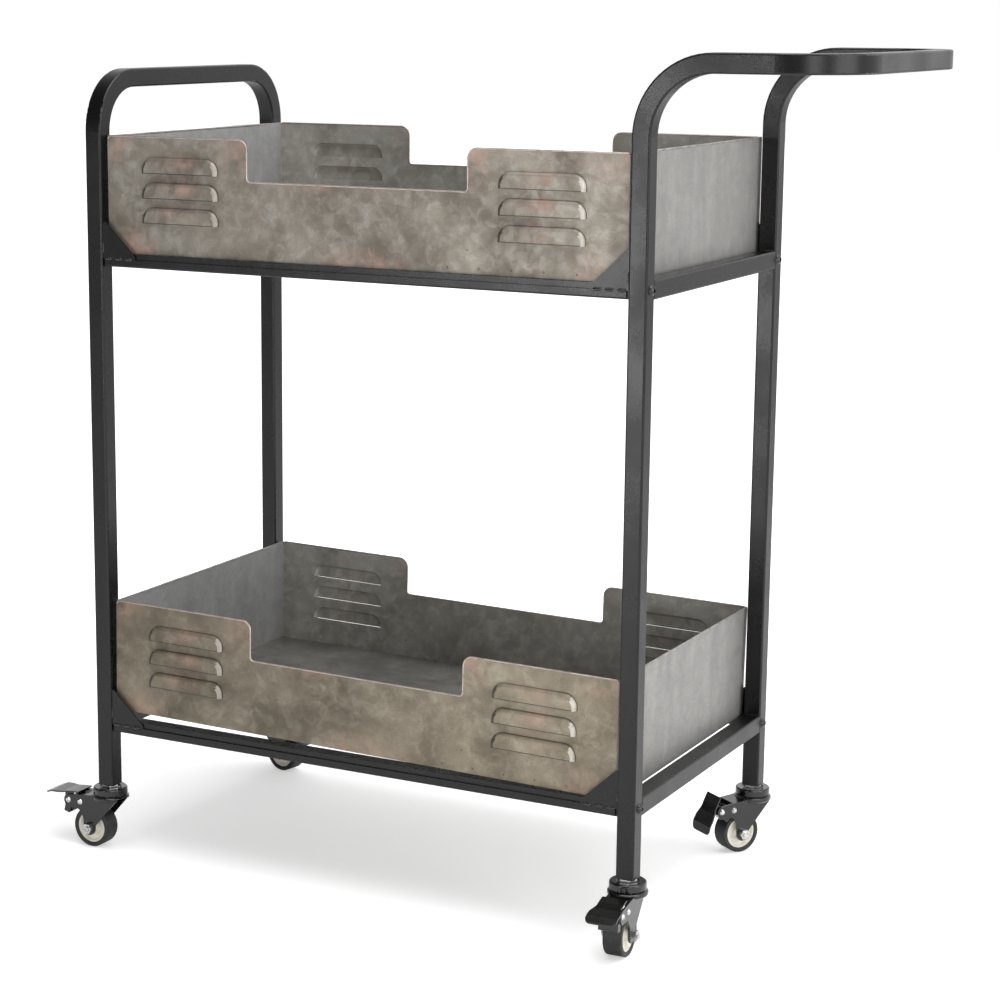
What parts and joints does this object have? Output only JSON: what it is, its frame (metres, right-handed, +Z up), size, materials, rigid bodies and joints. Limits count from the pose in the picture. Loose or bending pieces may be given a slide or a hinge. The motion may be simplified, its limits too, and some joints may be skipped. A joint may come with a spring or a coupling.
{
  "type": "bar cart",
  "caption": "Rolling bar cart with a black square-tube frame, lift-off louvered galvanised trays, a looped push handle and swivel casters with foot brakes.",
  "frame": {"origin": "middle of the cart's footprint, brake pedals included, on the floor plane", "axes": "+X along the cart towards the push handle, +Y across the cart towards its back, +Z up"},
  "size_m": [0.8914, 0.4402, 0.8657],
  "materials": {
    "black_frame": "satin black powder coat with rolled texture",
    "frame_fasteners": "black oxide, slightly glossy",
    "plug_steel": "turned steel",
    "bright_zinc": "bright zinc plate",
    "galvanised_sheet": "aged galvanised sheet with mottled bronze patina",
    "caster_black": "gloss black plate",
    "wheel_core": "cream moulded plastic",
    "wheel_tyre": "black rubber"
  },
  "bodies": {
    "frame": {"low_end_frame": "black_frame", "handle_end_frame": "black_frame", "end_rail_low_lower": "black_frame", "end_rail_low_upper": "black_frame", "end_rail_handle_lower": "black_frame", "end_rail_handle_upper": "black_frame", "front_rail_lower": "black_frame", "front_rail_upper": "black_frame", "back_rail_lower": "black_frame", "back_rail_upper": "black_frame", "corner_brackets_lower": "black_frame", "corner_brackets_upper": "black_frame", "weld_nuts": "frame_fasteners", "frame_bolts": "frame_fasteners", "post_plugs": "plug_steel", "caster_cups": "caster_black", "stem_nuts": "bright_zinc", "caster_fl_stem": "plug_steel", "caster_fr_stem": "plug_steel", "caster_br_stem": "plug_steel", "caster_bl_stem": "plug_steel"},
    "upper_tray": {"upper_tray_floor": "galvanised_sheet", "upper_tray_front_panel": "galvanised_sheet", "upper_tray_back_panel": "galvanised_sheet", "upper_tray_low_panel": "galvanised_sheet", "upper_tray_handle_panel": "galvanised_sheet"},
    "lower_tray": {"lower_tray_floor": "galvanised_sheet", "lower_tray_front_panel": "galvanised_sheet", "lower_tray_back_panel": "galvanised_sheet", "lower_tray_low_panel": "galvanised_sheet", "lower_tray_handle_panel": "galvanised_sheet"},
    "caster_fl_swivel": {"caster_fl_fork": "caster_black", "caster_fl_balls": "bright_zinc", "caster_fl_axle": "bright_zinc", "caster_fl_pins": "bright_zinc"},
    "caster_fl_brake": {"caster_fl_pedal": "caster_black"},
    "caster_fl_wheel": {"caster_fl_core": "wheel_core", "caster_fl_tyre": "wheel_tyre"},
    "caster_fr_swivel": {"caster_fr_fork": "caster_black", "caster_fr_balls": "bright_zinc", "caster_fr_axle": "bright_zinc", "caster_fr_pins": "bright_zinc"},
    "caster_fr_brake": {"caster_fr_pedal": "caster_black"},
    "caster_fr_wheel": {"caster_fr_core": "wheel_core", "caster_fr_tyre": "wheel_tyre"},
    "caster_br_swivel": {"caster_br_fork": "caster_black", "caster_br_balls": "bright_zinc", "caster_br_axle": "bright_zinc", "caster_br_pins": "bright_zinc"},
    "caster_br_brake": {"caster_br_pedal": "caster_black"},
    "caster_br_wheel": {"caster_br_core": "wheel_core", "caster_br_tyre": "wheel_tyre"},
    "caster_bl_swivel": {"caster_bl_fork": "caster_black", "caster_bl_balls": "bright_zinc", "caster_bl_axle": "bright_zinc", "caster_bl_pins": "bright_zinc"},
    "caster_bl_brake": {"caster_bl_pedal": "caster_black"},
    "caster_bl_wheel": {"caster_bl_core": "wheel_core", "caster_bl_tyre": "wheel_tyre"}
  },
  "joints": [
    {"name": "upper_tray_lift", "type": "slide", "parent": "frame", "child": "upper_tray", "axis": [0, 0, 1], "range_m": [0, 0.15]},
    {"name": "lower_tray_lift", "type": "slide", "parent": "frame", "child": "lower_tray", "axis": [0, 0, 1], "range_m": [0, 0.25]},
    {"name": "caster_fl_swivel", "type": "hinge", "parent": "frame", "child": "caster_fl_swivel", "pos_m": [-0.36875, -0.14213, 0.06], "axis": [0, 0, 1], "continuous": true},
    {"name": "caster_fl_spin", "type": "hinge", "parent": "caster_fl_swivel", "child": "caster_fl_wheel", "pos_m": [-0.38875, -0.14213, 0.0222], "axis": [0, -1, 0], "continuous": true},
    {"name": "caster_fl_brake_press", "type": "hinge", "parent": "caster_fl_swivel", "child": "caster_fl_brake", "pos_m": [-0.41625, -0.14213, 0.05], "axis": [0, -1, 0], "range_deg": [0, 60]},
    {"name": "caster_fr_swivel", "type": "hinge", "parent": "frame", "child": "caster_fr_swivel", "pos_m": [0.24425, -0.14213, 0.06], "axis": [0, 0, 1], "continuous": true},
    {"name": "caster_fr_spin", "type": "hinge", "parent": "caster_fr_swivel", "child": "caster_fr_wheel", "pos_m": [0.2453, -0.1621, 0.0222], "axis": [0.9986, 0.0523, 0], "continuous": true},
    {"name": "caster_fr_brake_press", "type": "hinge", "parent": "caster_fr_swivel", "child": "caster_fr_brake", "pos_m": [0.24674, -0.18957, 0.05], "axis": [0.9986, 0.0523, 0], "range_deg": [-9, 51]},
    {"name": "caster_br_swivel", "type": "hinge", "parent": "frame", "child": "caster_br_swivel", "pos_m": [0.24425, 0.19987, 0.06], "axis": [0, 0, 1], "continuous": true},
    {"name": "caster_br_spin", "type": "hinge", "parent": "caster_br_swivel", "child": "caster_br_wheel", "pos_m": [0.23278, 0.18349, 0.0222], "axis": [0.8192, -0.5736, 0], "continuous": true},
    {"name": "caster_br_brake_press", "type": "hinge", "parent": "caster_br_swivel", "child": "caster_br_brake", "pos_m": [0.21701, 0.16096, 0.05], "axis": [0.8192, -0.5736, 0], "range_deg": [-60, 0]},
    {"name": "caster_bl_swivel", "type": "hinge", "parent": "frame", "child": "caster_bl_swivel", "pos_m": [-0.36875, 0.19987, 0.06], "axis": [0, 0, 1], "continuous": true},
    {"name": "caster_bl_spin", "type": "hinge", "parent": "caster_bl_swivel", "child": "caster_bl_wheel", "pos_m": [-0.34919, 0.19571, 0.0222], "axis": [0.2079, 0.9781, 0], "continuous": true},
    {"name": "caster_bl_brake_press", "type": "hinge", "parent": "caster_bl_swivel", "child": "caster_bl_brake", "pos_m": [-0.32229, 0.18999, 0.05], "axis": [0.2079, 0.9781, 0], "range_deg": [0, 60]}
  ]
}
